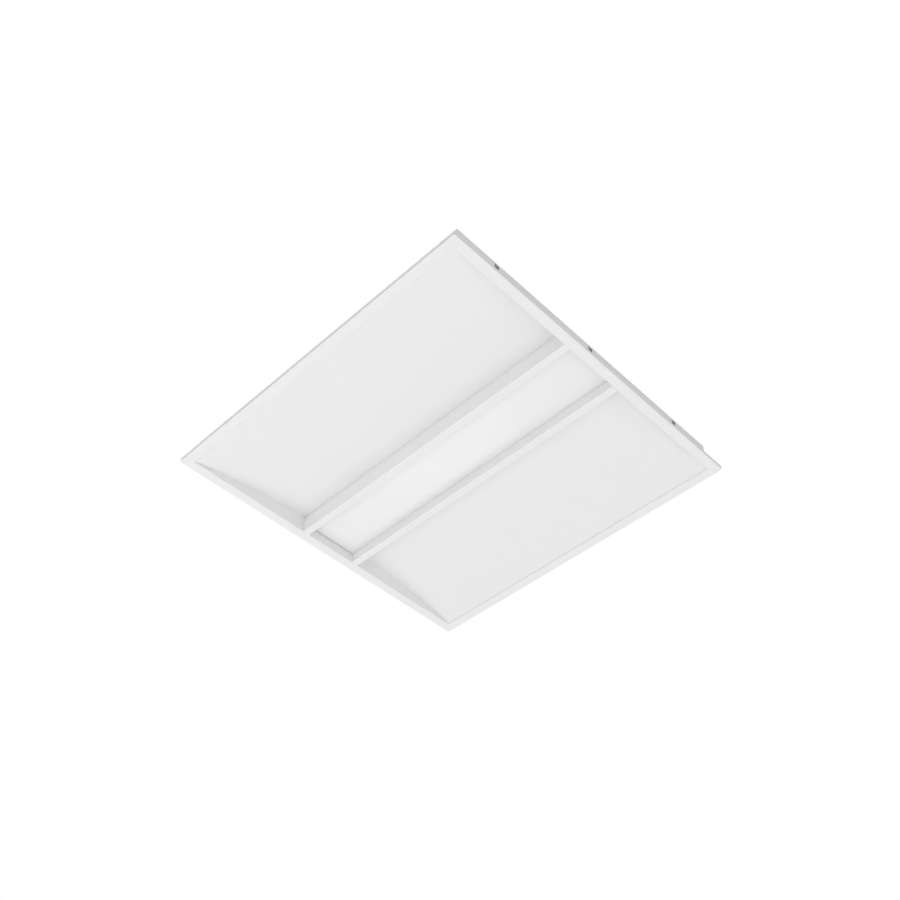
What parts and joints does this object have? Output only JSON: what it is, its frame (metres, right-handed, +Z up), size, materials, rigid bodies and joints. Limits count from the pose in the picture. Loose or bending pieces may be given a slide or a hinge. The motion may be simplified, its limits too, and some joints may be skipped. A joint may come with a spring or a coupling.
{
  "type": "recessed troffer light",
  "caption": "Square recessed ceiling light with two curved side reflectors, two full-length ribs, a hinged opal centre lens and a gear box on its back.",
  "frame": {"origin": "centre of the room-side face of the frame, in the plane that rests on the ceiling grid", "axes": "+Z up into the ceiling void, +Y along the ribs towards the cable gland, +X across the ribs"},
  "size_m": [0.595, 0.595, 0.0801],
  "materials": {
    "coated_steel": "matt white powder coat",
    "reflector_coat": "matt white reflector coat",
    "opal_acrylic": "satin opal acrylic",
    "trim_aluminium": "white coated extrusion",
    "rail_steel": "white coated strip",
    "spring_steel": "blank spring strip",
    "carrier_aluminium": "mill finish",
    "board_white": "white solder mask",
    "led_phosphor": "silicone over phosphor",
    "zinc_steel": "zinc plated",
    "galvanised_clip": "galvanised strip",
    "gland_nylon": "moulded grey nylon",
    "black_rubber": "moulded",
    "driver_plastic": "moulded white polycarbonate",
    "driver_pcb": "green solder mask",
    "driver_parts": "sleeved and moulded parts",
    "connector_plastic": "moulded white nylon",
    "block_plastic": "moulded pale grey nylon",
    "contact_copper": "tinned copper",
    "lever_orange": "moulded",
    "lead_brown": "PVC insulation",
    "lead_blue": "PVC insulation",
    "lead_green_yellow": "PVC insulation, green with yellow",
    "lead_red": "PVC insulation",
    "lead_black": "PVC insulation"
  },
  "bodies": {
    "housing": {"back_pan": "coated_steel", "board_connectors": "connector_plastic", "board_screws": "zinc_steel", "box_screws": "zinc_steel", "cable_gland": "gland_nylon", "clip_rivets": "zinc_steel", "corner_keys": "zinc_steel", "cover_hinge_pins": "zinc_steel", "cover_screws": "zinc_steel", "driver_base": "driver_plastic", "driver_board": "driver_pcb", "driver_case": "driver_plastic", "driver_components": "driver_parts", "driver_sockets": "connector_plastic", "earth_ring": "contact_copper", "earth_stud": "zinc_steel", "end_plate_front": "coated_steel", "end_plate_rear": "coated_steel", "frame_front": "coated_steel", "frame_left": "coated_steel", "frame_rear": "coated_steel", "frame_right": "coated_steel", "gear_box": "coated_steel", "gear_screws": "zinc_steel", "gland_dome_nut": "gland_nylon", "gland_lock_nut": "gland_nylon", "gland_seal": "black_rubber", "grommet": "black_rubber", "lead_earth": "lead_green_yellow", "lead_led_left": "lead_black", "lead_led_right": "lead_red", "lead_live": "lead_brown", "lead_neutral": "lead_blue", "led_board_left": "board_white", "led_board_right": "board_white", "led_carrier": "carrier_aluminium", "leds": "led_phosphor", "lens_catches": "spring_steel", "pan_screws": "zinc_steel", "rib_left": "coated_steel", "rib_right": "coated_steel", "rib_screws": "zinc_steel", "terminal_block": "block_plastic", "terminal_contacts": "contact_copper", "terminal_holder": "block_plastic", "wing_left": "reflector_coat", "wing_right": "reflector_coat", "wing_rivets": "zinc_steel"},
    "lens_door": {"lens": "opal_acrylic", "lens_hinge_bead": "trim_aluminium", "lens_hinge_pins": "zinc_steel", "lens_rail": "rail_steel"},
    "gear_cover": {"gear_cover": "coated_steel"},
    "terminal_lever_1": {"terminal_lever_1": "lever_orange"},
    "terminal_lever_2": {"terminal_lever_2": "lever_orange"},
    "terminal_lever_3": {"terminal_lever_3": "lever_orange"},
    "grid_clip_front_left": {"grid_clip_front_left": "galvanised_clip"},
    "grid_clip_front_right": {"grid_clip_front_right": "galvanised_clip"},
    "grid_clip_rear_left": {"grid_clip_rear_left": "galvanised_clip"},
    "grid_clip_rear_right": {"grid_clip_rear_right": "galvanised_clip"}
  },
  "joints": [
    {"name": "lens_hinge", "type": "hinge", "parent": "housing", "child": "lens_door", "pos_m": [-0.0449, 0, 0.02], "axis": [0, 1, 0], "range_deg": [0, 90]},
    {"name": "cover_hinge", "type": "hinge", "parent": "housing", "child": "gear_cover", "pos_m": [-0.0458, 0, 0.0775], "axis": [0, -1, 0], "range_deg": [0, 110]},
    {"name": "lever_1", "type": "hinge", "parent": "housing", "child": "terminal_lever_1", "pos_m": [-0.0066, 0.101, 0.0616], "axis": [-1, 0, 0], "range_deg": [0, 80]},
    {"name": "lever_2", "type": "hinge", "parent": "housing", "child": "terminal_lever_2", "pos_m": [0, 0.101, 0.0616], "axis": [-1, 0, 0], "range_deg": [0, 80]},
    {"name": "lever_3", "type": "hinge", "parent": "housing", "child": "terminal_lever_3", "pos_m": [0.0066, 0.101, 0.0616], "axis": [-1, 0, 0], "range_deg": [0, 80]},
    {"name": "clip_front_left", "type": "hinge", "parent": "housing", "child": "grid_clip_front_left", "pos_m": [-0.27, -0.23, 0.0498], "axis": [0, 0, 1], "range_deg": [0, 90]},
    {"name": "clip_front_right", "type": "hinge", "parent": "housing", "child": "grid_clip_front_right", "pos_m": [0.27, -0.23, 0.0498], "axis": [0, 0, -1], "range_deg": [0, 90]},
    {"name": "clip_rear_left", "type": "hinge", "parent": "housing", "child": "grid_clip_rear_left", "pos_m": [-0.27, 0.23, 0.0498], "axis": [0, 0, -1], "range_deg": [0, 90]},
    {"name": "clip_rear_right", "type": "hinge", "parent": "housing", "child": "grid_clip_rear_right", "pos_m": [0.27, 0.23, 0.0498], "axis": [0, 0, 1], "range_deg": [0, 90]}
  ]
}
